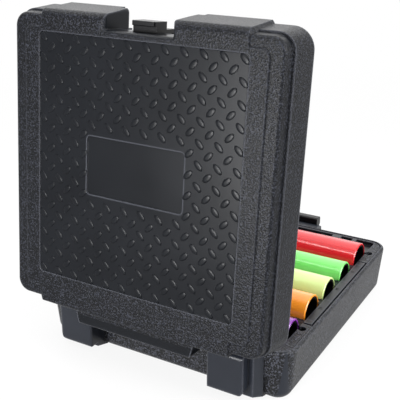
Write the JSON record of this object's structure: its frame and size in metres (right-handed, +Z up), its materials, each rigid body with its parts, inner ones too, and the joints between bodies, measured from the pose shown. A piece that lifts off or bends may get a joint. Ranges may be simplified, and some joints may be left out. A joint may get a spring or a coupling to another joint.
{
  "type": "socket wrench set in case",
  "caption": "Open hinged moulded case with a tread-plate lid, thumb latch and fold-up handle, holding long coloured sleeved impact sockets in a tray.",
  "frame": {"origin": "centre of the case's plan at the base's underside", "axes": "+X along the hinge, +Y from the hinge to the latch side, +Z up"},
  "size_m": [0.236, 0.3008, 0.2915],
  "materials": {
    "case": "stippled charcoal moulding with smooth bands",
    "tray": "smooth charcoal moulding",
    "black_plastic": "satin black",
    "pin_steel": "drawn bright",
    "socket_steel": "dark phosphate",
    "sleeve_purple": "glossy",
    "sleeve_orange": "glossy",
    "sleeve_lime": "glossy",
    "sleeve_green": "glossy",
    "sleeve_red": "glossy"
  },
  "bodies": {
    "base": {"base_shell": "case", "hinge_pin": "pin_steel", "latch_catch": "black_plastic", "handle_pin_left": "pin_steel", "handle_pin_right": "pin_steel", "tray_row_1": "tray", "socket_1_body": "socket_steel", "socket_1_nose_insert": "black_plastic", "socket_1_retaining_ring": "pin_steel", "tray_row_2": "tray", "socket_2_body": "socket_steel", "socket_2_nose_insert": "black_plastic", "socket_2_retaining_ring": "pin_steel", "tray_row_3": "tray", "socket_3_body": "socket_steel", "socket_3_nose_insert": "black_plastic", "socket_3_retaining_ring": "pin_steel", "tray_row_4": "tray", "socket_4_body": "socket_steel", "socket_4_nose_insert": "black_plastic", "socket_4_retaining_ring": "pin_steel", "tray_row_5": "tray", "socket_5_body": "socket_steel", "socket_5_nose_insert": "black_plastic", "socket_5_retaining_ring": "pin_steel"},
    "lid": {"lid_shell": "case", "lid_liner": "tray", "latch_pin": "pin_steel"},
    "latch": {"latch_clip": "black_plastic"},
    "handle": {"carry_handle": "black_plastic"},
    "sleeve_1": {"socket_1_sleeve": "sleeve_purple"},
    "sleeve_2": {"socket_2_sleeve": "sleeve_orange"},
    "sleeve_3": {"socket_3_sleeve": "sleeve_lime"},
    "sleeve_4": {"socket_4_sleeve": "sleeve_green"},
    "sleeve_5": {"socket_5_sleeve": "sleeve_red"}
  },
  "joints": [
    {"name": "lid_hinge", "type": "hinge", "parent": "base", "child": "lid", "pos_m": [0, -0.1255, 0.046], "axis": [1, 0, 0], "range_deg": [-83.9, 26]},
    {"name": "latch_pivot", "type": "hinge", "parent": "lid", "child": "latch", "pos_m": [0, -0.11931, 0.27614], "axis": [1, 0, 0], "range_deg": [-14, 0]},
    {"name": "handle_fold", "type": "hinge", "parent": "base", "child": "handle", "pos_m": [0, 0.1353, 0.014], "axis": [1, 0, 0], "range_deg": [-90, 0]},
    {"name": "sleeve_1_spin", "type": "hinge", "parent": "base", "child": "sleeve_1", "pos_m": [0.0113, -0.078, 0.0407], "axis": [1, 0, 0], "continuous": true},
    {"name": "sleeve_2_spin", "type": "hinge", "parent": "base", "child": "sleeve_2", "pos_m": [0.0113, -0.039, 0.0407], "axis": [1, 0, 0], "continuous": true},
    {"name": "sleeve_3_spin", "type": "hinge", "parent": "base", "child": "sleeve_3", "pos_m": [0.0113, 0, 0.0407], "axis": [1, 0, 0], "continuous": true},
    {"name": "sleeve_4_spin", "type": "hinge", "parent": "base", "child": "sleeve_4", "pos_m": [0.0113, 0.039, 0.0407], "axis": [1, 0, 0], "continuous": true},
    {"name": "sleeve_5_spin", "type": "hinge", "parent": "base", "child": "sleeve_5", "pos_m": [0.0113, 0.078, 0.0407], "axis": [1, 0, 0], "continuous": true}
  ]
}
